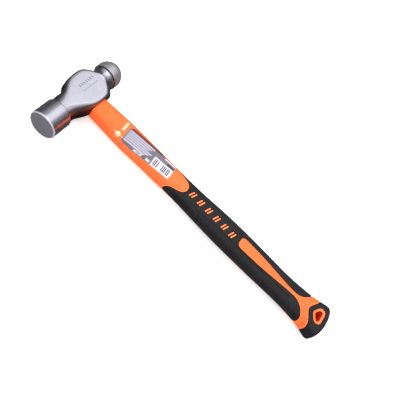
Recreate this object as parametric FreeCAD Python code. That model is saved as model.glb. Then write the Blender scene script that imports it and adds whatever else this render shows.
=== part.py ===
import FreeCAD, Part
import math
import os

# Ball peen hammer with a bonded, overmoulded handle, in millimetres.
# It lies on its side: the handle runs along +X from head to butt, the striking face looks
# along -Y, the ball along +Y, and one cheek looks up along +Z.
# Everything is built about the datum where the head's axis crosses the handle's axis, and
# moved at the end so that the origin is under the middle of the hammer's box.

# --- steel head, stations along Y from the datum ---
FACE_Y = -55.3
FACE_CHAMFER = 1.45
POLL_RADIUS = 14.1
FACE_RADIUS = 13.3
POLL_BACK_Y = -32.7
POLL_BACK_ROUND = 1.2
CHEEK_HALF = 11.1
EYE_SIDE_HALF = 18.0
BALL_CENTRE_Y = 37.1
BALL_RADIUS = 13.4
BALL_BASE_Y = 31.8
BALL_BASE_STEP = 0.15
# radius of the neck, the eye body and the waist at the stations that set their shape
BODY_PROFILE = [
    (POLL_BACK_Y - 3.0, 12.1),
    (-24.0, 13.0),
    (-14.0, 16.1),
    (-5.0, 20.0),
    (3.4, 21.6),
    (12.0, 20.2),
    (19.0, 15.3),
    (24.2, 11.3),
    (BALL_BASE_Y, 12.8),
]
CHEEK_END_Y = 25.1

# --- eye, core and bond ---
EYE_HALF_Y = 10.2
EYE_HALF_Z = 7.0
CORE_HALF_Y = 8.6
CORE_HALF_Z = 5.2
CORE_POWER = 2.4
CORE_TOP_X = -EYE_SIDE_HALF + 0.6
CORE_END_X = 292.0
BOND_RECESS = 1.0

# --- handle envelope: (x, half width, half thickness, squareness, sideways offset) ---
JACKET_TOP_X = EYE_SIDE_HALF
BUTT_END_X = 321.5
HANDLE_STATIONS = [
    (JACKET_TOP_X, 10.8, 7.7, 4.0, 0.3),
    (32.0, 11.4, 8.4, 3.8, 0.4),
    (62.0, 12.8, 8.7, 3.4, 0.2),
    (86.0, 12.7, 8.4, 3.1, 0.25),
    (107.0, 13.0, 8.0, 2.9, 0.3),
    (128.0, 13.0, 8.0, 2.7, 0.25),
    (150.0, 13.7, 8.5, 2.6, 0.0),
    (171.0, 14.7, 9.2, 2.6, 0.1),
    (193.0, 15.4, 9.4, 2.6, 0.2),
    (214.0, 15.5, 9.3, 2.6, 0.15),
    (245.0, 15.1, 8.9, 2.6, 0.0),
    (273.0, 15.0, 8.9, 2.6, 0.2),
    (288.0, 15.9, 9.2, 2.7, 0.4),
    (298.0, 16.7, 9.7, 2.8, 0.45),
    (306.0, 17.9, 10.5, 2.9, 0.4),
    (313.0, 19.3, 11.3, 3.0, 0.25),
    (319.0, 20.2, 11.8, 3.0, 0.2),
    (323.0, 20.4, 11.9, 3.0, 0.2),
]
BUTT_END_RADIUS = 66.0
RUBBER_THICKNESS = 1.6

# --- outlines on the broad faces, as (x, y) ---
TONGUE_OUTLINE = [
    (108.0, -16.0),
    (114.5, -12.6),
    (120.0, -9.9),
    (126.5, -8.2),
    (131.8, -5.0),
    (133.4, 0.0),
    (131.8, 5.0),
    (126.5, 8.2),
    (120.0, 9.9),
    (114.5, 12.6),
    (108.0, 16.0),
]
INLAY_HALF_OUTLINE = [
    (203.8, 0.0),
    (203.9, 2.8),
    (204.8, 4.8),
    (206.8, 5.8),
    (212.0, 6.1),
    (222.0, 5.8),
    (245.0, 4.4),
    (264.0, 2.6),
    (275.0, 1.9),
    (283.0, 2.6),
    (289.5, 6.2),
    (294.0, 11.2),
    (297.5, 17.0),
    (299.0, 26.0),
]
CAP_HALF_OUTLINE = [
    (298.4, 0.0),
    (299.8, 4.6),
    (302.8, 9.6),
    (305.4, 14.6),
    (306.8, 20.0),
    (307.4, 26.0),
]
BAR_COUNT = 6
BAR_FIRST = (140.5, 0.3)
BAR_LAST = (194.0, -1.9)
BAR_LENGTH = 7.6
BAR_STROKE = 1.5
BAR_STROKE_PITCH = 3.0
BAR_SLANT = 2.4
HOLE_CENTRE_Y = 0.3
HOLE_APEX_X = 308.4
HOLE_BASE_X = 311.2
HOLE_BASE_Y = 4.7
HOLE_CORNER_RADIUS = 2.2
RIM_WIDTH = 2.3

# --- product label ---
LABEL_START = (55.5, -4.4)
LABEL_ANGLE = 5.5
LABEL_LENGTH = 57.0
LABEL_WIDTH = 17.2
LABEL_THICKNESS = 0.15
LABEL_CORNER = 0.8
LABEL_LOW_Z = 4.0

OUTLINE_POINTS = 32
FAR = 60.0


def vector(x, y, z):
    return FreeCAD.Vector(x, y, z)


def closed_curve(points):
    curve = Part.BSplineCurve()
    curve.interpolate(Points=points, PeriodicFlag=True)
    return Part.Wire([curve.toShape()])


def open_curve(points):
    curve = Part.BSplineCurve()
    curve.interpolate(Points=points)
    return curve


def loft(wires):
    return Part.makeLoft(wires, True, False)


def angles():
    return [2 * math.pi * i / OUTLINE_POINTS for i in range(OUTLINE_POINTS)]


def oval_wire(x, half_y, half_z, power, offset):
    points = []
    for angle in angles():
        across, up = math.cos(angle), math.sin(angle)
        share = (abs(across) / half_y) ** power + (abs(up) / half_z) ** power
        reach = share ** (-1 / power)
        points.append(vector(x, offset + reach * across, reach * up))
    return closed_curve(points)


def extrude_outline(wire):
    """A tall column over an outline that lies in the plane Z = -FAR."""
    return Part.Face(wire).extrude(vector(0, 0, 2 * FAR))


# --- head ---


def revolve_about_y(edges):
    return Part.Face(Part.Wire(edges)).revolve(vector(0, 0, 0), vector(0, 1, 0), 360)


def head_body():
    """Round forged body, with the cheeks and the eye's end faces ground flat as far as the waist."""
    profile = open_curve([vector(radius, y, 0) for y, radius in BODY_PROFILE])
    first, last = vector(BODY_PROFILE[0][1], BODY_PROFILE[0][0], 0), vector(BODY_PROFILE[-1][1], BALL_BASE_Y, 0)
    start, end = vector(0, first.y, 0), vector(0, last.y, 0)
    edges = [Part.makeLine(start, first), profile.toShape(), Part.makeLine(last, end), Part.makeLine(end, start)]
    corner = vector(-EYE_SIDE_HALF, CHEEK_END_Y - FAR, -CHEEK_HALF)
    flats = Part.makeBox(2 * EYE_SIDE_HALF, FAR, 2 * CHEEK_HALF, corner)
    waist = Part.makeBox(2 * FAR, FAR, 2 * FAR, vector(-FAR, CHEEK_END_Y, -FAR))
    return revolve_about_y(edges).common(flats.fuse(waist))


def poll():
    bend = POLL_BACK_ROUND * (1 - math.sqrt(0.5))
    corners = [
        vector(0, FACE_Y, 0),
        vector(FACE_RADIUS, FACE_Y, 0),
        vector(POLL_RADIUS, FACE_Y + FACE_CHAMFER, 0),
        vector(POLL_RADIUS, POLL_BACK_Y - POLL_BACK_ROUND, 0),
    ]
    round_middle = vector(POLL_RADIUS - bend, POLL_BACK_Y - bend, 0)
    round_end = vector(POLL_RADIUS - POLL_BACK_ROUND, POLL_BACK_Y, 0)
    axis_end = vector(0, POLL_BACK_Y, 0)
    edges = [Part.makeLine(a, b) for a, b in zip(corners, corners[1:])]
    edges.append(Part.Arc(corners[-1], round_middle, round_end).toShape())
    edges.append(Part.makeLine(round_end, axis_end))
    edges.append(Part.makeLine(axis_end, corners[0]))
    return revolve_about_y(edges)


def ball():
    depth = BALL_CENTRE_Y - BALL_BASE_Y
    middle = BALL_RADIUS * math.sqrt(0.5)
    base = vector(0, BALL_BASE_Y, 0)
    shoulder = vector(BALL_RADIUS - BALL_BASE_STEP, BALL_BASE_Y, 0)
    equator = vector(BALL_RADIUS, BALL_BASE_Y + depth, 0)
    flank = vector(middle, BALL_CENTRE_Y + middle, 0)
    tip = vector(0, BALL_CENTRE_Y + BALL_RADIUS, 0)
    edges = [
        Part.makeLine(base, shoulder),
        Part.makeLine(shoulder, equator),
        Part.Arc(equator, flank, tip).toShape(),
        Part.makeLine(tip, base),
    ]
    return revolve_about_y(edges)


def eye_space():
    """The oval eye, straight through the head along X."""
    half_length = EYE_SIDE_HALF + 2.0
    wires = [oval_wire(x, EYE_HALF_Y, EYE_HALF_Z, CORE_POWER, 0) for x in (-half_length, half_length)]
    return Part.makeLoft(wires, True, True)


def hammer_head():
    head = head_body().fuse([poll(), ball()]).removeSplitter()
    return head.cut(eye_space())


def handle_core():
    wires = [oval_wire(x, CORE_HALF_Y, CORE_HALF_Z, CORE_POWER, 0) for x in (CORE_TOP_X, CORE_END_X)]
    return Part.makeLoft(wires, True, True)


def eye_bond(core):
    start = -EYE_SIDE_HALF + BOND_RECESS
    slab = Part.makeBox(JACKET_TOP_X - start, 2 * FAR, 2 * FAR, vector(start, -FAR, -FAR))
    return eye_space().common(slab).cut(core)


# --- handle ---


def handle_envelope(inset):
    """The handle's outer form, or the same form brought in all round by an inset."""
    wires = []
    for x, half_y, half_z, power, offset in HANDLE_STATIONS:
        wires.append(oval_wire(x, half_y - inset, half_z - inset, power, offset))
    form = loft(wires)
    radius = BUTT_END_RADIUS - inset
    centre_x = BUTT_END_X - BUTT_END_RADIUS
    rounder = Part.makeCylinder(radius, 2 * FAR, vector(centre_x, 0, -FAR))
    keep = Part.makeBox(centre_x - JACKET_TOP_X + 1, 2 * FAR, 2 * FAR, vector(JACKET_TOP_X - 1, -FAR, -FAR))
    return form.common(rounder.fuse(keep))


def line_through(points):
    flat = [vector(x, y, -FAR) for x, y in points]
    return [Part.makeLine(a, b) for a, b in zip(flat, flat[1:])]


def tongue_column():
    """Everything on the head side of the grip's front edge."""
    ends = TONGUE_OUTLINE[-1], TONGUE_OUTLINE[0]
    curve = open_curve([vector(x, y, -FAR) for x, y in TONGUE_OUTLINE]).toShape()
    back = line_through([ends[0], (ends[0][0], FAR), (0, FAR), (0, -FAR), (ends[1][0], -FAR), ends[1]])
    return extrude_outline(Part.Wire([curve] + back))


def mirrored(half_outline):
    lower = [(x, -y) for x, y in reversed(half_outline[1:])]
    return lower + half_outline


def butt_side_column(half_outline):
    """Everything on the butt side of a pointed front edge."""
    outline = mirrored(half_outline)
    curve = open_curve([vector(x, y, -FAR) for x, y in outline]).toShape()
    far_x = BUTT_END_X + FAR
    first, last = outline[0], outline[-1]
    back = line_through([last, (last[0], FAR), (far_x, FAR), (far_x, -FAR), (first[0], -FAR), first])
    return extrude_outline(Part.Wire([curve] + back))


def stroke_column(x, y):
    half_length, half_width = BAR_LENGTH / 2, BAR_STROKE / 2
    corners = [
        (x - half_width - BAR_SLANT / 2, y - half_length),
        (x + half_width - BAR_SLANT / 2, y - half_length),
        (x + half_width + BAR_SLANT / 2, y + half_length),
        (x - half_width + BAR_SLANT / 2, y + half_length),
    ]
    return extrude_outline(Part.Wire(line_through(corners + corners[:1])))


def bar_columns():
    """Columns over the row of bars, each a pair of slanted strokes."""
    (first_x, first_y), (last_x, last_y) = BAR_FIRST, BAR_LAST
    columns = []
    for i in range(BAR_COUNT):
        share = i / (BAR_COUNT - 1)
        x, y = first_x + share * (last_x - first_x), first_y + share * (last_y - first_y)
        for side in (-1, 1):
            columns.append(stroke_column(x + side * BAR_STROKE_PITCH / 2, y))
    return columns


def rounded_triangle(radius):
    """Column over the hull of three circles: one towards the head, two towards the butt."""
    low, high = HOLE_CENTRE_Y - HOLE_BASE_Y, HOLE_CENTRE_Y + HOLE_BASE_Y
    centres = [(HOLE_APEX_X, HOLE_CENTRE_Y), (HOLE_BASE_X, low), (HOLE_BASE_X, high)]
    edges = []
    for i in range(3):
        before, here, after = centres[i - 1], centres[i], centres[(i + 1) % 3]
        normal_in = outward_normal(before, here)
        normal_out = outward_normal(here, after)
        middle = math.atan2(normal_in[1] + normal_out[1], normal_in[0] + normal_out[0])
        start = offset_point(here, normal_in, radius)
        peak = offset_point(here, (math.cos(middle), math.sin(middle)), radius)
        end = offset_point(here, normal_out, radius)
        edges.append(Part.Arc(start, peak, end).toShape())
        edges.append(Part.makeLine(end, offset_point(after, normal_out, radius)))
    return extrude_outline(Part.Wire(edges))


def outward_normal(a, b):
    """Unit normal on the right of a run from a to b, outward when the outline turns left."""
    dx, dy = b[0] - a[0], b[1] - a[1]
    length = math.hypot(dx, dy)
    return dy / length, -dx / length


def offset_point(centre, direction, distance):
    return vector(centre[0] + direction[0] * distance, centre[1] + direction[1] * distance, -FAR)


def product_label(envelope, outer):
    """A thin rectangular film on the jacket's upper broad face, a little askew; its corner wraps over the side."""
    band = Part.makeBox(LABEL_LENGTH, LABEL_WIDTH, FAR, vector(0, -LABEL_WIDTH / 2, 0))
    upright = [edge for edge in band.Edges if abs(edge.Vertexes[0].Z - edge.Vertexes[-1].Z) > 1]
    band = band.makeFillet(LABEL_CORNER, upright)
    band.rotate(vector(0, 0, 0), vector(0, 0, 1), LABEL_ANGLE)
    band.translate(vector(LABEL_START[0], LABEL_START[1], LABEL_LOW_Z))
    return outer.cut(envelope).common(band)


def build():
    core = handle_core()
    head = hammer_head()
    bond = eye_bond(core)
    envelope = handle_envelope(0.0)
    skin = envelope.cut(handle_envelope(RUBBER_THICKNESS))
    hole = rounded_triangle(HOLE_CORNER_RADIUS)
    rim = rounded_triangle(HOLE_CORNER_RADIUS + RIM_WIDTH)
    cap_zone = butt_side_column(CAP_HALF_OUTLINE)
    inlay_zone = butt_side_column(INLAY_HALF_OUTLINE)
    grip = skin.cut([tongue_column(), inlay_zone] + bar_columns())
    cap = skin.common(cap_zone).cut(rim)
    jacket = envelope.cut([grip, cap, core, hole])
    label = product_label(envelope, handle_envelope(-LABEL_THICKNESS))
    return {
        "hammer_head": head,
        "handle_core": core,
        "eye_bond": bond,
        "handle_jacket": jacket,
        "main_grip": grip,
        "butt_grip": cap,
        "product_label": label,
    }


def main():
    os.makedirs("parts", exist_ok=True)
    middle_x = (BUTT_END_X - EYE_SIDE_HALF) / 2
    middle_y = (FACE_Y + BALL_CENTRE_Y + BALL_RADIUS) / 2
    shift = vector(-middle_x, -middle_y, POLL_RADIUS)
    for name, shape in build().items():
        shape.translate(shift)
        box = shape.BoundBox
        print(name, len(shape.Solids), "solids, volume", round(shape.Volume), "valid", shape.isValid())
        print("  ", [round(v, 2) for v in (box.XMin, box.XMax, box.YMin, box.YMax, box.ZMin, box.ZMax)])
        shape.exportStep(f"parts/{name}.step")


main()
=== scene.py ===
import math

import bmesh
import bpy
import numpy as np
from mathutils import Matrix, Vector


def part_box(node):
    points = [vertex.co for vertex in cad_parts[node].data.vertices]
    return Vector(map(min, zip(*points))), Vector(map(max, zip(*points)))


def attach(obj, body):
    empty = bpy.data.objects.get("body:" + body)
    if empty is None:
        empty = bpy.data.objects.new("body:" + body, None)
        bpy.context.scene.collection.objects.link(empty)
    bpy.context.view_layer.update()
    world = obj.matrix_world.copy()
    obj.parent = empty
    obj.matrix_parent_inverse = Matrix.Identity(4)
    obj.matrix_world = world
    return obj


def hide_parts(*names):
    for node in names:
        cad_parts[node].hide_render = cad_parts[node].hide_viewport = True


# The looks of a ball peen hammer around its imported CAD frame. Lengths in this file are in
# millimetres about the datum where the head's axis crosses the handle's axis, as they are in
# the CAD, and place() turns them into the frame's metres.

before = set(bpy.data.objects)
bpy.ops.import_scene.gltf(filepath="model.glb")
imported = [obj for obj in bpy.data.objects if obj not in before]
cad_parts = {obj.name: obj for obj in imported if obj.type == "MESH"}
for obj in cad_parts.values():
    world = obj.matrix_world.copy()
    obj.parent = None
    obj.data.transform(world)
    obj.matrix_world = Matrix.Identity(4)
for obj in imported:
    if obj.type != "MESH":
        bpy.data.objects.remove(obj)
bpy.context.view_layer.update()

MM = 0.001
BODY = "root"

# --- steel head, stations along Y ---
FACE_Y = -55.3
FACE_CHAMFER = 1.45
FACE_ROUND = 0.25
POLL_RADIUS = 14.1
FACE_RADIUS = 13.3
POLL_BACK_Y = -32.7
POLL_BACK_ROUND = 1.2
CHEEK_HALF = 11.1
EYE_SIDE_HALF = 18.0
BALL_CENTRE_Y = 37.1
BALL_RADIUS = 13.4
BALL_BASE_Y = 31.8
HEAD_EDGE_POWER = 16
BODY_PROFILE = [
    (-35.7, 12.1),
    (-24.0, 13.0),
    (-14.0, 16.1),
    (-5.0, 20.0),
    (3.4, 21.6),
    (12.0, 20.2),
    (19.0, 15.3),
    (24.2, 11.3),
    (BALL_BASE_Y, 12.8),
]
# the groove at the ball's base, its band and a fine turned line: (distance along, radius less the ball's)
BALL_BAND = [
    (-0.85, -0.8),
    (-0.6, -1.7),
    (-0.2, -1.7),
    (0.05, -0.5),
    (0.3, -0.2),
    (2.6, -0.08),
    (4.6, -0.02),
    (4.9, -0.1),
    (5.1, -0.32),
    (5.3, -0.32),
    (5.5, -0.1),
    (5.8, -0.07),
]
CHEEK_END_Y = 21.0
CHEEK_RUNOUT = 12.0
# half way through its thickness the body leans towards the handle and the ball beside the eye
BODY_LEAN = (1.8, 1.8)
LEAN_EYE_RUN = 5.0
LEAN_NECK_Y = -26.0
LEAN_WAIST_Y = 22.0
LEAN_RUN = 8.0
EYE_SIDE_STOCK = 0.6
EYE_HALF_Y = 10.2
EYE_HALF_Z = 7.0
EYE_POWER = 2.4
EYE_ROUND = 0.4
CORE_HALF_Y = 8.6
CORE_HALF_Z = 5.2
CORE_END_X = 292.0

# --- handle: (x, half width, half thickness, squareness, sideways offset) ---
JACKET_TOP_X = EYE_SIDE_HALF
BUTT_END_X = 321.5
BUTT_END_RADIUS = 66.0
BUTT_BEND_START = 299.5
HANDLE_STATIONS = [
    (JACKET_TOP_X, 10.8, 7.7, 4.0, 0.3),
    (32.0, 11.4, 8.4, 3.8, 0.4),
    (62.0, 12.8, 8.7, 3.4, 0.2),
    (86.0, 12.7, 8.4, 3.1, 0.25),
    (107.0, 13.0, 8.0, 2.9, 0.3),
    (128.0, 13.0, 8.0, 2.7, 0.25),
    (150.0, 13.7, 8.5, 2.6, 0.0),
    (171.0, 14.7, 9.2, 2.6, 0.1),
    (193.0, 15.4, 9.4, 2.6, 0.2),
    (214.0, 15.5, 9.3, 2.6, 0.15),
    (245.0, 15.1, 8.9, 2.6, 0.0),
    (273.0, 15.0, 8.9, 2.6, 0.2),
    (288.0, 15.9, 9.2, 2.7, 0.4),
    (298.0, 16.7, 9.7, 2.8, 0.45),
    (306.0, 17.9, 10.5, 2.9, 0.4),
    (313.0, 19.3, 11.3, 3.0, 0.25),
    (319.0, 20.2, 11.8, 3.0, 0.2),
    (323.0, 20.4, 11.9, 3.0, 0.2),
]
BUTT_EDGE_ROUND = 2.0
RUBBER_THICKNESS = 1.6
GROOVE = 0.5
# material number of the lands' rounded edges, painted a lighter orange as a highlight
EDGE_HIGHLIGHT_INK = 1
# material number of the jacket under the rubber and its steps, painted dark brown as shade in the groove
SEAM_SHADE_INK = 2
# material number of the walls through the holes, painted a darker orange as shade
HOLE_WALL_SHADE_INK = 3

# --- outlines on the broad faces, as (x, y) ---
TONGUE_OUTLINE = [
    (108.0, -16.0),
    (114.5, -12.6),
    (120.0, -9.9),
    (126.5, -8.2),
    (131.8, -5.0),
    (133.4, 0.0),
    (131.8, 5.0),
    (126.5, 8.2),
    (120.0, 9.9),
    (114.5, 12.6),
    (108.0, 16.0),
]
INLAY_HALF_OUTLINE = [
    (203.8, 0.0),
    (203.9, 2.8),
    (204.8, 4.8),
    (206.8, 5.8),
    (212.0, 6.1),
    (222.0, 5.8),
    (245.0, 4.4),
    (264.0, 2.6),
    (275.0, 1.9),
    (283.0, 2.6),
    (289.5, 6.2),
    (294.0, 11.2),
    (297.5, 17.0),
    (299.0, 26.0),
]
CAP_HALF_OUTLINE = [
    (298.4, 0.0),
    (299.8, 4.6),
    (302.8, 9.6),
    (305.4, 14.6),
    (306.8, 20.0),
    (307.4, 26.0),
]
BAR_COUNT = 6
BAR_FIRST = (140.5, 0.3)
BAR_LAST = (194.0, -1.9)
BAR_LENGTH = 7.6
BAR_STROKE = 1.5
BAR_STROKE_PITCH = 3.0
BAR_SLANT = 2.4
HOLE_CENTRES = [(308.4, 0.3), (311.2, -4.4), (311.2, 5.0)]
HOLE_CORNER_RADIUS = 2.2
RIM_WIDTH = 2.3
CREASE = [
    (147.0, 5.9),
    (149.5, 8.3),
    (154.0, 9.0),
    (169.0, 8.3),
    (189.0, 8.1),
    (210.0, 8.0),
    (240.0, 7.4),
    (262.0, 6.8),
    (275.0, 7.4),
]
CREASE_HALF = 0.65
CREASE_DEPTH = 0.55

LAND_ROUND = 0.5
RUBBER_ROUND = 0.7
HOLE_ROUND = 0.8
TOP_ROUND = 0.6
FLOOR_GAP = 0.02
BUTT_COVER = 8.6
HANDLE_COLUMNS = 128
COLUMN_STRETCH = 1.5
HEAD_COLUMNS = 192
BALL_RINGS = 26
WIDE = 100.0
NECK_FILLET = 0.7
SNAP = 0.04
FAR = 60.0

# --- printed film on the jacket: distances along and across it ---
LABEL_START = (55.5, -4.4)
LABEL_ANGLE = 5.5
PRINT_LIFT = 0.1
EMBLEM_CENTRE = (-5.8, -4.5)
EMBLEM_RINGS = [(1.15, 2.3), (0.0, 0.55)]
EMBLEM_STEPS = 32
EMBLEM_STRIPES = [
    (-5.6, -5.0, 1.0, 12.6),
    (-4.2, -3.5, 1.0, 12.6),
    (-10.4, -8.2, -4.3, -3.9),
    (-3.4, -0.6, -4.9, -4.5),
]
FILM = [(-0.4, 57.0, -8.4, 8.7)]
GREY_LINE_PITCH = 2.35
GREY_LINES = [
    (1.0, 31.0 - 2.6 * (k % 3), 6.4 - GREY_LINE_PITCH * k, 7.5 - GREY_LINE_PITCH * k) for k in range(6)
]
WHITE_BLOCKS = [
    (34.5, 56.6, -8.3, 2.4),
    (14.5, 18.5, -8.0, -6.4),
    (19.5, 23.5, -7.8, -4.4),
    (28.5, 33.0, -7.6, -5.4),
    (43.0, 56.6, 7.0, 8.5),
]
LABEL_BAR_PLACES = [36.4, 38.0, 40.2, 45.6, 47.4, 49.0, 51.2, 53.0]
LABEL_BAR_WIDTH = 0.95
DARK_PRINT = [(s, s + LABEL_BAR_WIDTH, -6.8, 0.9) for s in LABEL_BAR_PLACES] + [
    (20.0, 21.4, -7.2, -5.6),
    (25.0, 26.6, -6.6, -5.0),
    (48.0, 55.5, 3.4, 5.2),
    (-0.2, 44.0, 8.75, 9.3),
]
MAROON_MARGIN = [(2.0, 40.0, 9.3, 11.4)]
LABEL_LAYERS = [
    ("label_film", 0.08, FILM),
    ("label_margin", 0.08, MAROON_MARGIN),
    ("label_lines", 0.13, GREY_LINES),
    ("label_blocks", 0.13, WHITE_BLOCKS),
    ("label_bars", 0.18, DARK_PRINT),
]
LABEL_INKS = [
    ((92, 89, 99), (106, 103, 114)),
    ((128, 44, 30), (98, 30, 22)),
    ((184, 180, 196), (196, 192, 208)),
    ((190, 188, 195), (200, 198, 205)),
    ((42, 32, 38), (58, 46, 52)),
]

JACKET_INKS = [
    ("orange_plastic", (253, 90, 15), (255, 100, 22)),
    # painted highlight: a lighter orange for the rounded edges of the orange lands
    ("orange_edge_highlight", (255, 132, 66), (255, 142, 78)),
    # painted shade: dark brown for the orange jacket seen down in the groove beside the rubber
    ("orange_seam_shade", (74, 34, 22), (92, 44, 28)),
    # painted shade: a darker, deeper orange for the walls inside the holes
    ("orange_hole_wall_shade", (214, 44, 10), (196, 36, 8)),
]

# --- plain ticks on the cheek: (x, first y, count, pitch, height, width) ---
CHEEK_TICKS = [(-6.2, -4.0, 7, 2.9, 2.6, 0.9), (0.4, -4.6, 11, 1.9, 1.1, 0.7)]

# --- light ---
FLOOR_SIZE = 6.0
FLOOR_GLOW = 0.42
FLOOR_COLOUR = (0.9, 0.9, 0.9, 1.0)
FLOOR_MIRRORED = (0.04, 0.04, 0.045, 1.0)
AMBIENT = 0.95
ROOM_GLOW = 0.62
BOX_GLOW = 0.5
BOX_CENTRE_X = 0.08
BOX_HALF_X = 0.3
BOX_SOFT = 0.16

# --- dots of the grip's side panels: angle for each millimetre, and the radius they wrap round ---
DOT_PITCH = 2.1
DOT_TURN = 2 * math.pi / DOT_PITCH
DOT_WRAP_RADIUS = 12.0

# --- camera: where it looks, from how far, its three angles and its lens ---
CAMERA_TARGET = (149.42, 7.4, 0.0)
CAMERA_DISTANCE = 0.5347
CAMERA_ANGLES = (8.19, 54.05, 51.07)
CAMERA_LENS = 49.5


def node_datum():
    low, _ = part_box("hammer_head")
    return Vector((low.x + EYE_SIDE_HALF * MM, low.y - FACE_Y * MM, low.z + POLL_RADIUS * MM))


DATUM = np.array(node_datum())


def place(points):
    """Points in millimetres about the datum, as metres in the frame."""
    return np.asarray(points, float) * MM + DATUM


# --- curves and distances ---


def spline_slopes(x, y):
    """Second derivatives of the natural cubic spline through y at x."""
    count = len(x)
    gap = np.diff(x)
    matrix = np.eye(count)
    right = np.zeros((count,) + y.shape[1:])
    for i in range(1, count - 1):
        matrix[i, i - 1 : i + 2] = gap[i - 1], 2 * (gap[i - 1] + gap[i]), gap[i]
        right[i] = 6 * ((y[i + 1] - y[i]) / gap[i] - (y[i] - y[i - 1]) / gap[i - 1])
    return np.linalg.solve(matrix, right)


def spline(x, y, at):
    """The natural cubic spline through y at x, read at the places given."""
    x, y, at = np.asarray(x, float), np.asarray(y, float), np.asarray(at, float)
    bend = spline_slopes(x, y)
    i = np.clip(np.searchsorted(x, at) - 1, 0, len(x) - 2)
    gap = x[i + 1] - x[i]
    a, b = (x[i + 1] - at) / gap, (at - x[i]) / gap
    if y.ndim > 1:
        a, b, gap = a[:, None], b[:, None], gap[:, None]
    curve = ((a**3 - a) * bend[i] + (b**3 - b) * bend[i + 1]) * gap**2 / 6
    return a * y[i] + b * y[i + 1] + curve


def smooth_outline(points, steps=12):
    """A smooth curve through the points, as a dense run of points."""
    points = np.asarray(points, float)
    along = np.r_[0, np.cumsum(np.hypot(*np.diff(points, axis=0).T))]
    return spline(along, points, np.linspace(0, along[-1], steps * len(points)))


def mirrored(half_outline):
    return [(x, -y) for x, y in reversed(half_outline[1:])] + list(half_outline)


def path_distance(path, at, closed):
    """Distance from each place to a path of straight runs."""
    start = np.asarray(path, float)
    end = np.roll(start, -1, axis=0)
    if not closed:
        start, end = start[:-1], end[:-1]
    run = end - start
    length = (run**2).sum(1)
    result = np.empty(len(at))
    for k in range(0, len(at), 4000):
        offset = at[k : k + 4000, None] - start[None]
        share = np.clip((offset * run).sum(2) / length, 0, 1)
        gap = offset - share[..., None] * run
        result[k : k + 4000] = np.sqrt((gap**2).sum(2).min(1))
    return result


def inside(path, at):
    start = np.asarray(path, float)
    end = np.roll(start, -1, axis=0)
    result = np.zeros(len(at), bool)
    for (x0, y0), (x1, y1) in zip(start, end):
        if y0 == y1:
            continue
        crosses = (at[:, 1] < y0) != (at[:, 1] < y1)
        result ^= crosses & (at[:, 0] < x0 + (at[:, 1] - y0) * (x1 - x0) / (y1 - y0))
    return result


def signed_distance(path, at):
    """Distance to a closed outline, positive inside it."""
    return np.where(inside(path, at), 1, -1) * path_distance(path, at, True)


def roll(distance, radius):
    """Depth of a rounded edge at a distance inside it."""
    left = radius - np.clip(distance, 0, radius)
    return radius - np.sqrt(radius**2 - left**2)


def smooth_step(value):
    share = np.clip(value, 0, 1)
    return share * share * (3 - 2 * share)


# --- a skin of polygons that can be cut along level lines ---


class Skin:
    """Polygons over a surface of two coordinates (along, around), with distance fields."""

    def __init__(self, alongs, columns):
        around = 2 * math.pi * np.arange(columns) / columns
        rows = len(alongs)
        grid = np.stack(np.meshgrid(alongs, around, indexing="ij"), axis=2)
        self.places = [tuple(p) for p in grid.reshape(-1, 2)]
        self.polygons = []
        for i in range(rows - 1):
            for j in range(columns):
                k = (j + 1) % columns
                a, b = i * columns, (i + 1) * columns
                self.polygons.append([a + j, b + j, b + k, a + k])
        self.fields = {}
        self.first_ring = list(range(columns))
        self.last_ring = [(rows - 1) * columns + j for j in range(columns)]

    def set_field(self, name, values):
        self.fields[name] = [float(v) for v in values]

    def between(self, i, j, share):
        """A new point part of the way from i to j."""
        (u0, v0), (u1, v1) = self.places[i], self.places[j]
        turn = (v1 - v0 + math.pi) % (2 * math.pi) - math.pi
        self.places.append((u0 + share * (u1 - u0), v0 + share * turn))
        for values in self.fields.values():
            values.append(values[i] + share * (values[j] - values[i]))
        return len(self.places) - 1

    def cut(self, name, level):
        """Cut every polygon that crosses a level line of a field along that line."""
        values = self.fields[name]
        for i, value in enumerate(values):
            if abs(value - level) < SNAP:
                values[i] = level
        made = {}
        result = []
        waiting = list(self.polygons)
        while waiting:
            polygon = waiting.pop()
            side = [values[i] - level for i in polygon]
            if min(side) >= 0 or max(side) <= 0:
                result.append(polygon)
                continue
            signs = [v > 0 for v in side if v]
            if sum(a != b for a, b in zip(signs, signs[1:] + signs[:1])) > 2:
                waiting += [[polygon[0], polygon[k], polygon[k + 1]] for k in range(1, len(polygon) - 1)]
                continue
            low, high = [], []
            for k, i in enumerate(polygon):
                j = polygon[(k + 1) % len(polygon)]
                here, there = side[k], side[(k + 1) % len(polygon)]
                if here <= 0:
                    low.append(i)
                if here >= 0:
                    high.append(i)
                if here * there < 0:
                    key = (min(i, j), max(i, j))
                    if key not in made:
                        first, last = key
                        span = values[last] - values[first]
                        made[key] = self.between(first, last, (level - values[first]) / span)
                        values[made[key]] = level
                    low.append(made[key])
                    high.append(made[key])
            result += [p for p in (low, high) if len(p) > 2]
        self.polygons = result

    def middle(self, name, polygon):
        values = self.fields[name]
        return sum(values[i] for i in polygon) / len(polygon)


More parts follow.
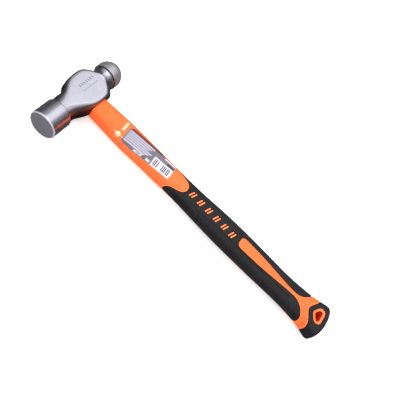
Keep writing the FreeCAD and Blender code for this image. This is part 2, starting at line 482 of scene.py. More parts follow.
class Build:
    """Vertices and faces of one piece, gathered from layers of a skin."""

    def __init__(self):
        self.points = []
        self.faces = []
        self.inks = []
        self.lookup = {}
        self.uvs = []

    def vertex(self, key, point, uv=(0.0, 0.0)):
        if key not in self.lookup:
            self.lookup[key] = len(self.points)
            self.points.append(point)
            self.uvs.append(uv)
        return self.lookup[key]

    def face(self, corners, ink=0):
        """A face with the piece's material number ink."""
        clean = [c for k, c in enumerate(corners) if c != corners[k - 1]]
        if len(clean) > 2:
            self.faces.append(clean)
            self.inks.append(ink)

    def ring_faces(self, first, second):
        for k in range(len(first)):
            m = (k + 1) % len(first)
            self.face([first[k], second[k], second[m], first[m]])

    def to_object(self, name, sharp=40.0):
        mesh = bpy.data.meshes.new(name)
        mesh.from_pydata(place(self.points).tolist(), [], self.faces)
        layer = mesh.uv_layers.new(name="surface")
        for loop in mesh.loops:
            layer.data[loop.index].uv = self.uvs[loop.vertex_index]
        mesh.polygons.foreach_set("material_index", self.inks)
        mesh.validate()
        finish_mesh(mesh, sharp)
        piece = bpy.data.objects.new(name, mesh)
        bpy.context.scene.collection.objects.link(piece)
        return piece


def finish_mesh(mesh, sharp):
    """Outward normals, smooth faces and sharp edges by angle."""
    work = bmesh.new()
    work.from_mesh(mesh)
    bmesh.ops.recalc_face_normals(work, faces=work.faces)
    work.to_mesh(mesh)
    work.free()
    mesh.polygons.foreach_set("use_smooth", [True] * len(mesh.polygons))
    mesh.set_sharp_from_angle(angle=math.radians(sharp))
    mesh.update()


# --- handle surface ---


def handle_sizes(x):
    table = np.array(HANDLE_STATIONS)
    return spline(table[:, 0], table[:, 1:], np.clip(x, JACKET_TOP_X, HANDLE_STATIONS[-1][0])).T


def handle_surface(along, around, depth=0.0):
    """The handle's outer surface. Past the butt's edge, along goes round it and over the end."""
    along, around = np.asarray(along, float), np.asarray(around, float)
    bend_start = BUTT_END_X - BUTT_EDGE_ROUND
    turn = np.clip((along - bend_start) / BUTT_EDGE_ROUND, 0, math.pi / 2)
    x = np.minimum(along, bend_start) + BUTT_EDGE_ROUND * np.sin(turn)
    over = np.maximum(along - bend_start - BUTT_EDGE_ROUND * math.pi / 2, 0)
    inset = BUTT_EDGE_ROUND * (1 - np.cos(turn)) + over
    half_y, half_z, power, offset = handle_sizes(x)
    flat = np.sin(turn)
    half_y = half_y - inset - depth * (1 - flat)
    half_z = half_z - inset - depth * (1 - flat)
    across, up = COLUMN_STRETCH * np.cos(around), np.sin(around)
    share = (np.abs(across) / half_y) ** power + (np.abs(up) / half_z) ** power
    reach = share ** (-1 / power)
    y, z = offset + reach * across, reach * up
    sag = BUTT_END_RADIUS - np.sqrt(BUTT_END_RADIUS**2 - y**2)
    x = x - sag * smooth_step((x - BUTT_BEND_START) / (BUTT_END_X - BUTT_BEND_START)) - depth * flat
    return np.stack([x, y, z], axis=-1)


def tongue_zone():
    curve = smooth_outline(TONGUE_OUTLINE)
    (x0, _), (x1, _) = curve[0], curve[-1]
    return np.vstack([curve, [(x1, FAR), (-FAR, FAR), (-FAR, -FAR), (x0, -FAR)]])


def butt_zone(half_outline):
    curve = smooth_outline(mirrored(half_outline))
    (x0, _), (x1, _) = curve[0], curve[-1]
    far_x = BUTT_END_X + FAR
    return np.vstack([curve, [(x1, FAR), (far_x, FAR), (far_x, -FAR), (x0, -FAR)]])


def rounded_triangle(radius, steps=10):
    """The hull of three circles of one radius."""
    points = []
    for i in range(3):
        before, here, after = HOLE_CENTRES[i - 1], HOLE_CENTRES[i], HOLE_CENTRES[(i + 1) % 3]
        start = math.atan2(here[1] - before[1], here[0] - before[0]) - math.pi / 2
        end = math.atan2(after[1] - here[1], after[0] - here[0]) - math.pi / 2
        turn = (end - start) % (2 * math.pi)
        for k in range(steps + 1):
            angle = start + turn * k / steps
            points.append((here[0] + radius * math.cos(angle), here[1] + radius * math.sin(angle)))
    return points


def bar_outlines():
    """Outlines of the row of bars, each a pair of slanted strokes."""
    (first_x, first_y), (last_x, last_y) = BAR_FIRST, BAR_LAST
    lean, half_length, half_width = BAR_SLANT / 2, BAR_LENGTH / 2, BAR_STROKE / 2
    bars = []
    for i in range(2 * BAR_COUNT):
        share = (i // 2) / (BAR_COUNT - 1)
        x = first_x + share * (last_x - first_x) + BAR_STROKE_PITCH * (i % 2 - 0.5)
        y = first_y + share * (last_y - first_y)
        low, high = x - half_width, x + half_width
        bottom = [(low - lean, y - half_length), (high - lean, y - half_length)]
        bars.append(bottom + [(high + lean, y + half_length), (low + lean, y + half_length)])
    return bars


def rubber_field(at):
    """Distance inside the black rubber, negative on the orange."""
    main = -signed_distance(tongue_zone(), at)
    main = np.minimum(main, -signed_distance(butt_zone(INLAY_HALF_OUTLINE), at))
    for bar in bar_outlines():
        main = np.minimum(main, -signed_distance(bar, at))
    cap = signed_distance(butt_zone(CAP_HALF_OUTLINE), at)
    rim = rounded_triangle(HOLE_CORNER_RADIUS + RIM_WIDTH)
    cap = np.minimum(cap, -signed_distance(rim, at))
    return np.maximum(main, cap)


def handle_alongs():
    top = JACKET_TOP_X + TOP_ROUND * np.array([0, 0.15, 0.45, 1.0])
    bare = np.arange(JACKET_TOP_X + 2.0, 106.0, 1.6)
    bend_start = BUTT_END_X - BUTT_EDGE_ROUND
    bend_end = bend_start + BUTT_EDGE_ROUND * math.pi / 2
    detailed = np.arange(106.0, bend_start, 0.65)
    bend = np.linspace(bend_start, bend_end, 8)[:-1]
    cover = np.linspace(bend_end, bend_end + BUTT_COVER, 14)
    return np.concatenate([top, bare, detailed, bend, cover])


def handle_skin():
    skin = Skin(handle_alongs(), HANDLE_COLUMNS)
    plan = handle_surface(*np.array(skin.places).T)[:, :2]
    skin.set_field("hole", -signed_distance(rounded_triangle(HOLE_CORNER_RADIUS), plan))
    skin.set_field("rubber", rubber_field(plan))
    sideways = np.abs(plan[:, 1] - handle_sizes(plan[:, 0])[3])
    folded = np.stack([plan[:, 0], sideways], axis=1)
    skin.set_field("crease", path_distance(smooth_outline(CREASE), folded, False))
    skin.cut("hole", 0.0)
    skin.polygons = [p for p in skin.polygons if skin.middle("hole", p) > 0]
    for name, levels in (
        ("hole", (0.25, HOLE_ROUND)),
        ("rubber", (-LAND_ROUND, -0.15, 0.0, GROOVE, GROOVE + 0.2, GROOVE + RUBBER_ROUND)),
        ("crease", (0.1, CREASE_HALF)),
    ):
        for level in levels:
            skin.cut(name, level)
    return skin


class HandleLayers:
    """The handle's skin at several depths, one for each moulded surface."""

    def __init__(self):
        self.skin = handle_skin()
        self.places = np.array(self.skin.places)
        fields = {name: np.array(values) for name, values in self.skin.fields.items()}
        top = roll(self.places[:, 0] - JACKET_TOP_X, TOP_ROUND)
        hole = roll(fields["hole"], HOLE_ROUND)
        crease = CREASE_DEPTH * (1 - smooth_step(fields["crease"] / CREASE_HALF))
        land = np.maximum(roll(-fields["rubber"], LAND_ROUND), np.maximum(top, hole))
        rubber = roll(fields["rubber"] - GROOVE, RUBBER_ROUND) + crease
        self.points = {
            "land": self.surface(land),
            "floor": self.surface(RUBBER_THICKNESS + FLOOR_GAP),
            "rubber": self.surface(rubber),
            "inner": self.surface(RUBBER_THICKNESS),
        }

    def surface(self, depth):
        return handle_surface(self.places[:, 0], self.places[:, 1], depth)

    def polygons(self, level, above):
        kept = []
        for polygon in self.skin.polygons:
            if (self.skin.middle("rubber", polygon) > level) == above:
                kept.append(polygon)
        return kept

    def add(self, build, layer, polygons, flip=False, ink=0):
        points = self.points[layer]
        for polygon in polygons:
            corners = []
            for i in polygon:
                corners.append(build.vertex((layer, i), tuple(points[i]), tuple(self.places[i])))
            build.face(corners[::-1] if flip else corners, ink)

    def close_end(self, build, layer, flip=False):
        """Close the butt with strips from side to side."""
        ring = [build.lookup[(layer, i)] for i in self.skin.last_ring]
        zip_ring(build, ring, flip)


def open_edges(polygons):
    """Edges that only one polygon has, in its direction."""
    seen = {}
    for polygon in polygons:
        for k, b in enumerate(polygon):
            a = polygon[k - 1]
            seen.setdefault(frozenset((a, b)), []).append((a, b))
    return [edges[0] for edges in seen.values() if len(edges) == 1]


def zip_ring(build, ring, flip=False):
    """Close a ring with strips between corners that face each other."""
    count = len(ring)
    for j in range(count // 2):
        quad = [ring[j], ring[j + 1], ring[(count - j - 1) % count], ring[-j % count]]
        build.face(quad[::-1] if flip else quad)


def mirror_key(point, axis):
    """A point's rounded place, mirrored along an axis if one is given."""
    return tuple(round(-c if k == axis else c, 3) for k, c in enumerate(point))


def wall_through(build, axis, inside_test, ink=0):
    """Join an outline on one side of a piece to its mirror image on the other side."""
    by_place = {mirror_key(p, None): i for i, p in enumerate(build.points)}
    for a, b in open_edges(build.faces):
        points = build.points[a], build.points[b]
        if points[0][axis] < 0 or not all(inside_test(p) for p in points):
            continue
        far = [by_place.get(mirror_key(p, axis)) for p in points]
        if None not in far:
            build.face([b, a, far[0], far[1]], ink)


def jacket_piece(layers):
    build = Build()
    land = layers.polygons(0.0, False)
    floor = layers.polygons(0.0, True)
    middle = layers.skin.middle
    rolled = [p for p in land if middle("rubber", p) > -LAND_ROUND or middle("hole", p) < HOLE_ROUND]
    edges = {id(p) for p in rolled}
    layers.add(build, "land", [p for p in land if id(p) not in edges])
    # The rounded edges of the lands take the lighter orange, a painted highlight.
    layers.add(build, "land", rolled, ink=EDGE_HIGHLIGHT_INK)
    # The jacket under the rubber and the steps down to it take a dark brown, painted shade for the groove
    # beside the rubber.
    layers.add(build, "floor", floor, ink=SEAM_SHADE_INK)
    rim = set(layers.skin.first_ring)
    hole = layers.skin.fields["hole"]
    steps = [e for e in open_edges(land) if not rim.issuperset(e) and max(hole[i] for i in e) > 0]
    for a, b in steps:
        upper = [build.lookup[("land", b)], build.lookup[("land", a)]]
        lower = [build.vertex(("floor", i), tuple(layers.points["floor"][i])) for i in (a, b)]
        build.face(upper + lower, SEAM_SHADE_INK)
    layers.close_end(build, "floor")
    low, high = HOLE_CENTRES[0][0] - RIM_WIDTH, HOLE_CENTRES[1][0] + RIM_WIDTH + HOLE_CORNER_RADIUS
    # The walls through the holes take the darker orange, painted shade inside the holes.
    wall_through(build, 2, lambda p: low - HOLE_CORNER_RADIUS < p[0] < high, HOLE_WALL_SHADE_INK)
    add_core_space(build, [build.lookup[("land", i)] for i in layers.skin.first_ring])
    return build.to_object("jacket")


def oval(x, half_y, half_z, power, columns):
    ring = []
    for j in range(columns):
        turn = 2 * math.pi * j / columns
        across, up = math.cos(turn), math.sin(turn)
        reach = ((abs(across) / half_y) ** power + (abs(up) / half_z) ** power) ** (-1 / power)
        ring.append((x, reach * across, reach * up))
    return ring


def add_core_space(build, first_ring):
    """The blind space for the fibreglass core, open towards the head."""
    rings = [first_ring]
    for x in (JACKET_TOP_X, CORE_END_X):
        points = oval(x, CORE_HALF_Y, CORE_HALF_Z, EYE_POWER, HANDLE_COLUMNS)
        rings.append([build.vertex(("core", x, j), p) for j, p in enumerate(points)])
    for outer, inner in zip(rings, rings[1:]):
        build.ring_faces(inner, outer)
    zip_ring(build, rings[-1], True)


def rubber_pieces(layers):
    """The long grip and the butt cap, each a closed shell of rubber."""
    polygons = layers.polygons(GROOVE, True)
    split = CAP_HALF_OUTLINE[0][0]
    points = layers.points["rubber"]
    pieces = {"grip_sleeve": [], "butt_cap": []}
    for island in connected(polygons):
        centre = np.mean([points[i][0] for polygon in island for i in polygon])
        pieces["butt_cap" if centre > split else "grip_sleeve"] += island
    result = []
    for name, group in pieces.items():
        build = Build()
        layers.add(build, "rubber", group)
        layers.add(build, "inner", group, flip=True)
        ends = set(layers.skin.last_ring)
        for a, b in open_edges(group):
            if not ends.issuperset((a, b)):
                wall = [("rubber", b), ("rubber", a), ("inner", a), ("inner", b)]
                build.face([build.lookup[corner] for corner in wall])
        if name == "butt_cap":
            layers.close_end(build, "rubber")
            layers.close_end(build, "inner", flip=True)
        result.append(build.to_object(name))
    return result


def connected(polygons):
    """Groups of polygons that share corners."""
    leader = {}

    def find(i):
        while leader.setdefault(i, i) != i:
            leader[i] = leader[leader[i]]
            i = leader[i]
        return i

    for polygon in polygons:
        for i in polygon[1:]:
            leader[find(i)] = find(polygon[0])
    groups = {}
    for polygon in polygons:
        groups.setdefault(find(polygon[0]), []).append(polygon)
    return list(groups.values())


# --- head ---


def head_rings():
    """Rings of the head from the face to the ball: (y, radius, half height limit, half width limit)."""
    rings = []
    for share in (0.02, 0.25, 0.5, 0.75, 0.93, 0.985):
        rings.append((FACE_Y, FACE_RADIUS * share))
    for k in range(5):
        turn = math.radians(22.5 * k / 4)
        y = FACE_Y + FACE_ROUND * (1 - math.cos(turn))
        rings.append((y, FACE_RADIUS - FACE_ROUND + FACE_ROUND * math.sin(turn)))
    bevel = POLL_RADIUS - FACE_RADIUS
    for share in (0.35, 0.7, 0.93):
        rings.append((FACE_Y + FACE_CHAMFER * share, FACE_RADIUS + bevel * share))
    for y in np.arange(FACE_Y + FACE_CHAMFER + 0.15, POLL_BACK_Y - POLL_BACK_ROUND, 1.0):
        rings.append((y, POLL_RADIUS))
    for k in range(7):
        turn = math.radians(15 * k)
        y = POLL_BACK_Y - POLL_BACK_ROUND * (1 - math.sin(turn))
        rings.append((y, POLL_RADIUS - POLL_BACK_ROUND * (1 - math.cos(turn))))
    rings = [(y, radius, WIDE, WIDE) for y, radius in rings]
    profile = np.array(BODY_PROFILE)
    for y in np.arange(POLL_BACK_Y + 0.02, BALL_BASE_Y - 1.0, 0.6):
        radius = float(spline(profile[:, 0], profile[:, 1], np.array([y]))[0])
        neck = NECK_FILLET * math.exp(-(y - POLL_BACK_Y) / NECK_FILLET)
        runout = CHEEK_RUNOUT * float(smooth_step((y - CHEEK_END_Y) / CHEEK_RUNOUT))
        rings.append((y, radius + neck, CHEEK_HALF + runout + neck, EYE_SIDE_HALF + EYE_SIDE_STOCK))
    for along, inset in BALL_BAND:
        rings.append((BALL_BASE_Y + along, BALL_RADIUS + inset, WIDE, WIDE))
    for k in range(BALL_RINGS):
        turn = math.radians(4 + 86 * k / (BALL_RINGS - 1))
        rings.append((BALL_CENTRE_Y + BALL_RADIUS * math.sin(turn), BALL_RADIUS * math.cos(turn), WIDE, WIDE))
    return np.array(rings[:-1])


def head_surface(along, around, rings):
    i = np.clip(along.astype(int), 0, len(rings) - 2)
    share = (along - i)[:, None]
    y, radius, half_z, half_x = (rings[i] * (1 - share) + rings[i + 1] * share).T
    across, up = np.cos(around), np.sin(around)
    power = HEAD_EDGE_POWER
    total = radius**-power + (np.abs(across) / half_x) ** power + (np.abs(up) / half_z) ** power
    reach = total ** (-1 / power)
    middle = 1 - np.minimum((reach * up / CHEEK_HALF) ** 2, 1)
    beside_eye = smooth_step((np.abs(y) - EYE_HALF_Y) / LEAN_EYE_RUN)
    from_neck = smooth_step((y - LEAN_NECK_Y) / LEAN_RUN)
    to_waist = smooth_step((y - LEAN_WAIST_Y) / LEAN_RUN)
    lean = middle * beside_eye * from_neck * (1 - to_waist)
    return np.stack([reach * across + BODY_LEAN[0] * lean, y + BODY_LEAN[1] * lean, reach * up], axis=1)


def head_piece():
    rings = head_rings()
    skin = Skin(np.arange(len(rings), dtype=float), HEAD_COLUMNS)
    points = head_surface(*np.array(skin.places).T, rings)
    across, up = np.abs(points[:, 1]) / EYE_HALF_Y, np.abs(points[:, 2]) / EYE_HALF_Z
    oval_share = (across**EYE_POWER + up**EYE_POWER) ** (1 / EYE_POWER)
    skin.set_field("eye", (oval_share - 1) * EYE_HALF_Z)
    skin.set_field("flat", np.abs(points[:, 0]) - EYE_SIDE_HALF)
    skin.cut("eye", 0.0)
    skin.polygons = [p for p in skin.polygons if skin.middle("eye", p) > 0]
    skin.cut("eye", EYE_ROUND)
    skin.cut("flat", 0.0)
    places = np.array(skin.places)
    points = head_surface(places[:, 0], places[:, 1], rings)
    edge = roll(np.array(skin.fields["eye"]), EYE_ROUND)
    side = EYE_SIDE_HALF - edge
    points[:, 0] = np.clip(points[:, 0], -side, side)
    build = Build()
    for polygon in skin.polygons:
        build.face([build.vertex(i, tuple(points[i]), tuple(places[i])) for i in polygon])
    for ring, end in ((skin.first_ring, FACE_Y), (skin.last_ring, BALL_CENTRE_Y + BALL_RADIUS)):
        tip = build.vertex(("tip", end), (0.0, end, 0.0))
        for k, i in enumerate(ring):
            build.face([build.lookup[ring[k - 1]], build.lookup[i], tip])
    wall_through(build, 0, lambda p: abs(p[1]) < EYE_HALF_Y + 1)
    return build.to_object("steel_head", 32.0)


def cheek_mark():
    """Two faint rows of plain ticks on the upper cheek."""
    build = Build()
    z = CHEEK_HALF + 0.02
    for x, start, count, pitch, height, width in CHEEK_TICKS:
        for k in range(count):
            y = start + pitch * k
            corners = [(0, 0), (0, width), (height, width + 0.3 * height), (height, 0.3 * height)]
            ring = [build.vertex((x, k, c), (x + dx, y + dy, z)) for c, (dx, dy) in enumerate(corners)]
            build.face(ring)
    return build.to_object("cheek_mark")


# --- label ---


def label_place(s, t):
    """The place on the jacket for a distance along the label and one across it."""
    angle = math.radians(LABEL_ANGLE)
    x = LABEL_START[0] + s * math.cos(angle) - t * math.sin(angle)
    y = LABEL_START[1] + s * math.sin(angle) + t * math.cos(angle)
    half_y, half_z, power, offset = (float(v[0]) for v in handle_sizes(np.array([x])))
    share = min(abs(y - offset) / half_y, 1.0)
    return x, y, half_z * (1 - share**power) ** (1 / power)


def drape(build, low_s, high_s, low_t, high_t, lift, key, cell=0.8):
    """A rectangle of film laid over the jacket."""
    along = max(1, round((high_s - low_s) / cell))
    across = max(1, round((high_t - low_t) / cell))
    index = {}
    for i in range(along + 1):
        for j in range(across + 1):
            s = low_s + (high_s - low_s) * i / along
            t = low_t + (high_t - low_t) * j / across
            x, y, z = label_place(s, t)
            index[i, j] = build.vertex((key, i, j), (x, y, z + lift), (s, t))
    for i in range(along):
        for j in range(across):
            build.face([index[i, j], index[i + 1, j], index[i + 1, j + 1], index[i, j + 1]])


def label_pieces():
    pieces = []
    for name, lift, rectangles in LABEL_LAYERS:
        build = Build()
        for k, (low_s, high_s, low_t, high_t) in enumerate(rectangles):
            drape(build, low_s, high_s, low_t, high_t, lift, k)
        pieces.append(build.to_object(name))
    return pieces


def emblem_corner(build, step, radius):
    angle = 2 * math.pi * step / EMBLEM_STEPS
    s, t = EMBLEM_CENTRE
    x, y, z = label_place(s + radius * math.cos(angle), t + radius * math.sin(angle))
    return build.vertex(("ring", step if radius else 0, radius), (x, y, z + PRINT_LIFT))


def emblem_piece():
    """A plain ring with a dot, two short rays and two stripes, printed on the jacket."""
    build = Build()
    for inner, outer in EMBLEM_RINGS:
        for k in range(EMBLEM_STEPS):
            after = (k + 1) % EMBLEM_STEPS
            corners = [(k, inner), (k, outer), (after, outer), (after, inner)]
            build.face([emblem_corner(build, *corner) for corner in corners])
    for key, rectangle in enumerate(EMBLEM_STRIPES):
        drape(build, *rectangle, PRINT_LIFT, key)
    return build.to_object("emblem")


# --- materials ---


class Nodes:
    """Short calls that add shader nodes to a tree."""

    def __init__(self, tree):
        self.tree = tree

    def node(self, kind, inputs=None, **options):
        node = self.tree.nodes.new("ShaderNode" + kind)
        for option, value in options.items():
            setattr(node, option, value)
        for socket, value in (inputs or {}).items():
            self.feed(node.inputs[socket], value)
        return node

    def feed(self, socket, value):
        if isinstance(value, bpy.types.NodeSocket):
            self.tree.links.new(value, socket)
        else:
            socket.default_value = value

    def math(self, operation, *values):
        return self.node("Math", dict(enumerate(values)), operation=operation).outputs[0]

    def place(self):
        """The point's place in millimetres about the datum, as a vector."""
        source = self.node("TexCoord").outputs["Object"]
        moved = self.node("VectorMath", {0: source, 1: tuple(DATUM)}, operation="SUBTRACT").outputs[0]
        scale = (1 / MM, 1 / MM, 1 / MM)
        return self.node("VectorMath", {0: moved, 1: scale}, operation="MULTIPLY").outputs[0]

    def axes(self, vector):
        return self.node("SeparateXYZ", {0: vector}).outputs

    def noise(self, vector, size, detail=3.0, stretch=(1, 1, 1)):
        """Noise with features about size millimetres across, stretched along the axes."""
        scale = tuple(1 / (size * s) for s in stretch)
        scaled = self.node("VectorMath", {0: vector, 1: scale}, operation="MULTIPLY").outputs[0]
        return self.node("TexNoise", {"Vector": scaled, "Scale": 1.0, "Detail": detail}).outputs[0]

    def step(self, value, low, high):
        """A smooth rise from 0 at low to 1 at high."""
        node = self.node("MapRange", {0: value, 1: low, 2: high}, interpolation_type="SMOOTHSTEP")
        return node.outputs[0]

    def span(self, value, low, high, start=0.0, end=1.0):
        return self.node("MapRange", {0: value, 1: low, 2: high, 3: start, 4: end}).outputs[0]

    def mix(self, factor, first, second):
        node = self.node("Mix", {0: factor, 6: first, 7: second}, data_type="RGBA")
        return node.outputs[2]

    def bump(self, height, strength, distance):
        inputs = {"Height": height, "Strength": strength, "Distance": distance}
        return self.node("Bump", inputs).outputs[0]


class Graph(Nodes):
    """A material and the nodes that feed its shader."""

    def __init__(self, name, settings):
        self.material = bpy.data.materials.new(name)
        self.material.use_nodes = True
        super().__init__(self.material.node_tree)
        self.shader = self.tree.nodes["Principled BSDF"]
        for socket, value in settings.items():
            self.shader.inputs[socket].default_value = value

    def set(self, **sockets):
        for name, value in sockets.items():
            self.feed(self.shader.inputs[name.replace("_", " ")], value)
        return self.material


def rgb(red, green, blue):
    """A colour given as screen values from 0 to 255."""
    linear = []
    for value in (red, green, blue):
        share = value / 255
        linear.append(share / 12.92 if share <= 0.04045 else ((share + 0.055) / 1.055) ** 2.4)
    return (*linear, 1.0)


def steel_material():
    """Bright ground steel on the cheeks, poll and ball, dark forge finish on the sides, with a painted
    reflection on the striking face and painted shade in the groove at the ball's base.
    """
    g = Graph("forged_steel", {})
    place = g.place()
    _, y, z = g.axes(place)
    height, towards_face = g.math("ABSOLUTE", z), g.math("MULTIPLY", y, -1.0)
    cheek = g.step(height, CHEEK_HALF - 0.55, CHEEK_HALF - 0.12)
    shoulder = g.math("MULTIPLY", g.step(height, 4.5, CHEEK_HALF), 0.6)
    poll = g.step(towards_face, -POLL_BACK_Y - 0.6, -POLL_BACK_Y + 0.2)
    ball = g.step(y, BALL_BASE_Y - 0.35, BALL_BASE_Y)
    waist = g.math("MULTIPLY", g.step(y, 22.0, 27.0), 0.8)
    bright = g.math("MAXIMUM", g.math("MAXIMUM", cheek, poll), g.math("MAXIMUM", ball, waist))
    bright = g.math("MAXIMUM", bright, shoulder)
    face = g.step(towards_face, -FACE_Y - 0.3, -FACE_Y - 0.05)
    chamfer_start = -FACE_Y - FACE_CHAMFER
    chamfer = g.math("SUBTRACT", g.step(towards_face, chamfer_start, chamfer_start + 0.2), face)
    cloud = g.noise(place, 9.0, 4.0)
    lines = g.noise(place, 0.35, 2.0, (60, 1, 60))
    scratches = g.noise(place, 0.5, 2.0, (30, 2, 1))
    scale = g.noise(place, 1.4, 5.0)
    pale = g.mix(cloud, rgb(232, 230, 243), rgb(246, 245, 255))
    ground = g.mix(g.span(lines, 0.3, 0.7, 0.0, 0.45), pale, rgb(186, 182, 184))
    ground = g.mix(g.math("MULTIPLY", cheek, 0.9), ground, pale)
    # Painted reflection: the striking face's darker grey stands in for dark surroundings mirrored in it.
    ground = g.mix(face, ground, rgb(118, 117, 126))
    ground = g.mix(g.math("MULTIPLY", ball, 0.5), ground, rgb(164, 160, 160))
    dark = g.mix(scale, rgb(72, 62, 60), rgb(124, 112, 108))
    colour = g.mix(bright, dark, ground)
    # Painted shade: a near-black band along the groove at the ball's base, where shade falls in the crease.
    groove = g.step(g.math("ABSOLUTE", g.math("SUBTRACT", y, BALL_BASE_Y - 0.4)), 0.75, 0.35)
    colour = g.mix(g.math("MULTIPLY", groove, 0.85), colour, rgb(38, 33, 32))
    rough_ground = g.span(scratches, 0.2, 0.8, 0.2, 0.3)
    rough_turned = g.span(lines, 0.2, 0.8, 0.2, 0.32)
    turned = g.math("SUBTRACT", 1.0, cheek)
    rough = g.math("ADD", g.math("MULTIPLY", rough_ground, cheek), g.math("MULTIPLY", rough_turned, turned))
    forged, struck = g.math("SUBTRACT", 1.0, bright), g.math("ADD", face, chamfer)
    for zone, more in ((forged, 0.14), (struck, 0.15), (ball, 0.14), (poll, 0.04)):
        rough = g.math("ADD", rough, g.math("MULTIPLY", zone, more))
    matt = g.math("ADD", g.math("MULTIPLY", face, 0.6), g.math("MULTIPLY", chamfer, 0.4))
    metallic = g.math("SUBTRACT", 1.0, g.math("ADD", matt, g.math("MULTIPLY", ball, 0.15)))
    grain = g.math("ADD", g.math("MULTIPLY", lines, 0.5), g.math("MULTIPLY", scratches, 0.5))
    relief = g.mix(bright, scale, grain)
    return g.set(Base_Color=colour, Roughness=rough, Metallic=metallic, Normal=g.bump(relief, 0.25, 0.00006))


def plastic_material(name, first, second):
    """Glossy moulded plastic with a slight cloudiness, specks and an uneven skin."""
    g = Graph(name, {"Specular IOR Level": 0.55, "Coat Weight": 0.2, "Coat Roughness": 0.3})
    place = g.place()
    cloud = g.noise(place, 22.0, 3.0, (3, 1, 1))
    colour = g.mix(cloud, rgb(*first), rgb(*second))
    specks = g.step(g.noise(place, 0.7, 2.0), 0.66, 0.74)
    colour = g.mix(g.math("MULTIPLY", specks, 0.25), colour, rgb(*(0.9 * c for c in first)))
    rough = g.span(g.noise(place, 5.0, 4.0), 0.2, 0.8, 0.3, 0.42)
    peel = g.noise(place, 0.8, 2.0)
    return g.set(Base_Color=colour, Roughness=rough, Normal=g.bump(peel, 0.12, 0.00008))


def rubber_material():
    """Soft black rubber: smooth in the middle, finely dotted outside the crease."""
    g = Graph("black_rubber", {"Specular IOR Level": 0.38, "Sheen Weight": 0.03, "Sheen Roughness": 0.5})
    place = g.place()
    x, y, z = g.axes(place)
    side = g.step(g.math("ABSOLUTE", g.math("SUBTRACT", y, 0.1)), 8.0, 8.5)
    ends = g.math("MULTIPLY", g.step(x, 150.0, 153.0), g.step(g.math("MULTIPLY", x, -1.0), -290.0, -284.0))
    panel = g.math("MULTIPLY", side, ends)
    wrap = g.math("MULTIPLY", g.math("ARCTAN2", z, y), DOT_WRAP_RADIUS)
    row = g.math("SINE", g.math("MULTIPLY", x, DOT_TURN))
    column = g.math("SINE", g.math("MULTIPLY", wrap, DOT_TURN))
    dots = g.math("MULTIPLY", g.step(g.math("MULTIPLY", row, column), 0.05, 0.6), panel)
    fine = g.noise(place, 0.25, 3.0)
    height = g.math("ADD", dots, g.math("MULTIPLY", fine, 0.18))
    dust = g.noise(place, 14.0, 5.0)
    colour = g.mix(g.span(dust, 0.3, 0.7), rgb(19, 18, 21), rgb(27, 26, 30))
    colour = g.mix(g.math("MULTIPLY", dots, 0.35), colour, rgb(52, 52, 60))
    rough = g.span(g.noise(place, 3.0, 4.0), 0.2, 0.8, 0.42, 0.58)
    return g.set(Base_Color=colour, Roughness=rough, Normal=g.bump(height, 0.9, 0.0004))


def fibre_material():
    """Pale fibreglass with strands along the handle."""
    g = Graph("fibreglass", {"Roughness": 0.4, "Specular IOR Level": 0.5})
    place = g.place()
    strands = g.noise(place, 0.35, 3.0, (40, 1, 1))
    cloud = g.noise(place, 3.0)
    colour = g.mix(g.span(strands, 0.35, 0.65), rgb(196, 168, 104), rgb(226, 206, 150))
    colour = g.mix(g.math("MULTIPLY", cloud, 0.3), colour, rgb(150, 126, 80))
    return g.set(Base_Color=colour, Normal=g.bump(strands, 0.4, 0.0001))


def resin_material():
    """Cast epoxy: dark amber, glossy, with small bubbles."""
    g = Graph("epoxy", {"Coat Weight": 0.4, "Coat Roughness": 0.1, "Specular IOR Level": 0.5})
    place = g.place()
    cloud = g.noise(place, 4.0, 4.0)
    bubbles = g.node("TexVoronoi", {"Vector": place, "Scale": 0.9}).outputs["Distance"]
    pits = g.step(bubbles, 0.08, 0.2)
    colour = g.mix(cloud, rgb(48, 30, 20), rgb(84, 56, 34))
    rough = g.span(cloud, 0.3, 0.7, 0.2, 0.4)
    return g.set(Base_Color=colour, Roughness=rough, Normal=g.bump(pits, 0.5, 0.0002))


def print_material(name, first, second, size=2.5):
    """Printed film with slightly uneven ink."""
    g = Graph(name, {"Specular IOR Level": 0.4})
    place = g.place()
    ink = g.noise(place, size, 4.0)
    creases = g.noise(place, 7.0, 2.0, (2, 1, 1))
    rough = g.span(ink, 0.2, 0.8, 0.32, 0.46)
    colour = g.mix(g.span(ink, 0.3, 0.7), rgb(*first), rgb(*second))
    return g.set(Base_Color=colour, Roughness=rough, Normal=g.bump(creases, 0.15, 0.0003))


# --- stage, light and camera ---


def link(thing):
    bpy.context.scene.collection.objects.link(thing)
    return thing


def floor_piece():
    """A pale floor that steel doesn't mirror at full brightness."""
    half = FLOOR_SIZE / 2
    mesh = bpy.data.meshes.new("floor")
    low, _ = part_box("hammer_head")
    corners = [(-half, -half, low.z), (half, -half, low.z), (half, half, low.z), (-half, half, low.z)]
    mesh.from_pydata(corners, [], [(0, 1, 2, 3)])
    floor = link(bpy.data.objects.new("floor", mesh))
    glow = {"Emission Color": (1.0, 1.0, 1.0, 1.0), "Emission Strength": FLOOR_GLOW}
    g = Graph("floor", {"Base Color": FLOOR_COLOUR, "Roughness": 0.9, "Specular IOR Level": 0.0, **glow})
    dim = g.node("BsdfDiffuse", {"Color": FLOOR_MIRRORED}).outputs[0]
    glossy = g.node("LightPath").outputs["Is Glossy Ray"]
    mixed = g.node("MixShader", {0: glossy, 1: g.shader.outputs[0], 2: dim}).outputs[0]
    g.tree.links.new(mixed, g.tree.nodes["Material Output"].inputs["Surface"])
    mesh.materials.append(g.material)


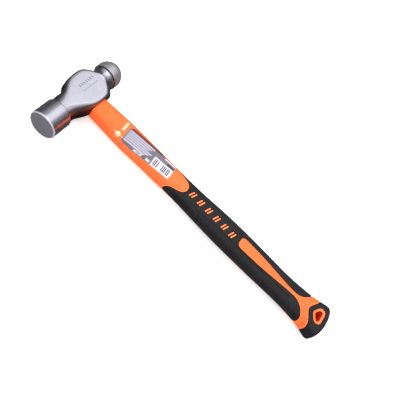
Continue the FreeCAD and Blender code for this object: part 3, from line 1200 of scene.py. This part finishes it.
def studio_world():
    """Even white light, and for reflections a dark room with one softbox above."""
    world = bpy.data.worlds.new("studio")
    world.use_nodes = True
    bpy.context.scene.world = world
    g = Nodes(world.node_tree)
    direction = g.node("TexCoord").outputs["Generated"]
    x, y, z = g.axes(direction)
    sky = g.span(z, 0.0, 1.0, 0.0, 1.0)
    room = g.math("MULTIPLY", g.math("POWER", g.math("MAXIMUM", sky, 0.0), 1.9), ROOM_GLOW)
    across = g.math("ABSOLUTE", g.math("SUBTRACT", x, BOX_CENTRE_X))
    box = g.math("MULTIPLY", g.step(across, BOX_HALF_X + BOX_SOFT, BOX_HALF_X), g.step(z, 0.3, 0.5))
    box = g.math("MULTIPLY", box, g.step(y, -0.75, -0.45))
    seen = g.math("ADD", room, g.math("MULTIPLY", box, BOX_GLOW))
    mirror = g.node("Background", {"Color": (0.96, 0.96, 1.0, 1.0), "Strength": seen}).outputs[0]
    even = g.node("Background", {"Color": (1.0, 1.0, 1.0, 1.0), "Strength": AMBIENT}).outputs[0]
    glossy = g.node("LightPath").outputs["Is Glossy Ray"]
    mixed = g.node("MixShader", {0: glossy, 1: even, 2: mirror}).outputs[0]
    g.tree.links.new(mixed, g.tree.nodes["World Output"].inputs["Surface"])


def aim(thing, position, target):
    direction = Vector(target) - Vector(position)
    turned = direction.to_track_quat("-Z", "Y").to_matrix().to_4x4()
    thing.matrix_world = Matrix.Translation(position) @ turned


def softbox(name, position, size, power):
    light = bpy.data.lights.new(name, "AREA")
    light.shape = "RECTANGLE"
    light.size, light.size_y = size
    light.energy = power
    lamp = link(bpy.data.objects.new(name, light))
    lamp.visible_glossy = False
    aim(lamp, position, (0.0, 0.0, 0.0))


def camera_at(target, distance, azimuth, elevation, roll_angle, lens):
    """A camera that looks at the target from a distance, with its azimuth from +Y towards +X."""
    turn, tilt, spin = (math.radians(v) for v in (azimuth, elevation, roll_angle))
    forward = Vector((math.sin(turn) * math.cos(tilt), math.cos(turn) * math.cos(tilt), -math.sin(tilt)))
    level = forward.cross(Vector((0, 0, 1))).normalized()
    upright = level.cross(forward)
    right = level * math.cos(spin) + upright * math.sin(spin)
    up = upright * math.cos(spin) - level * math.sin(spin)
    camera = link(bpy.data.objects.new("camera", bpy.data.cameras.new("camera")))
    matrix = Matrix((right, up, -forward)).transposed().to_4x4()
    matrix.translation = target - forward * distance
    camera.matrix_world = matrix
    camera.data.lens = lens
    camera.data.sensor_width = 36.0
    camera.data.clip_start = 0.01
    bpy.context.scene.camera = camera


# --- assembly ---


def finish_piece(piece, slot, material, *nodes):
    piece.data.materials.append(material)
    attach(piece, BODY)
    if nodes:
        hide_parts(*nodes)


def carried_material(node, material):
    """Give a CAD piece that is shown as it is its material."""
    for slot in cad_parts[node].material_slots:
        slot.material = material


def build_hammer():
    steel = steel_material()
    finish_piece(head_piece(), "forged_steel", steel, "hammer_head")
    etched = print_material("etched_steel", (150, 148, 160), (176, 174, 186), 1.0)
    etched.node_tree.nodes["Principled BSDF"].inputs["Metallic"].default_value = 1.0
    finish_piece(cheek_mark(), "forged_steel", etched)
    carried_material("handle_core", fibre_material())
    carried_material("eye_bond", resin_material())
    layers = HandleLayers()
    jacket = jacket_piece(layers)
    orange, *others = [plastic_material(*ink) for ink in JACKET_INKS]
    finish_piece(jacket, "orange_plastic", orange, "handle_jacket")
    for material in others:
        jacket.data.materials.append(material)
    rubber = rubber_material()
    grip, cap = rubber_pieces(layers)
    finish_piece(grip, "black_rubber", rubber, "main_grip")
    finish_piece(cap, "black_rubber", rubber, "butt_grip")
    for piece, inks in zip(label_pieces(), LABEL_INKS):
        nodes = ("product_label",) if piece.name == "label_film" else ()
        finish_piece(piece, "label_film", print_material(piece.name, *inks), *nodes)
    cream = print_material("cream_ink", (255, 236, 206), (255, 222, 178), 1.5)
    finish_piece(emblem_piece(), "label_film", cream)


view = bpy.context.scene.view_settings
view.view_transform = "Standard"
camera_at(Vector(place(CAMERA_TARGET)), CAMERA_DISTANCE, *CAMERA_ANGLES, CAMERA_LENS)
floor_piece()
studio_world()
softbox("key", (0.1, 0.75, 1.1), (1.2, 0.9), 16.0)
softbox("fill", (-0.3, -0.6, 1.3), (1.4, 1.4), 10.0)
build_hammer()
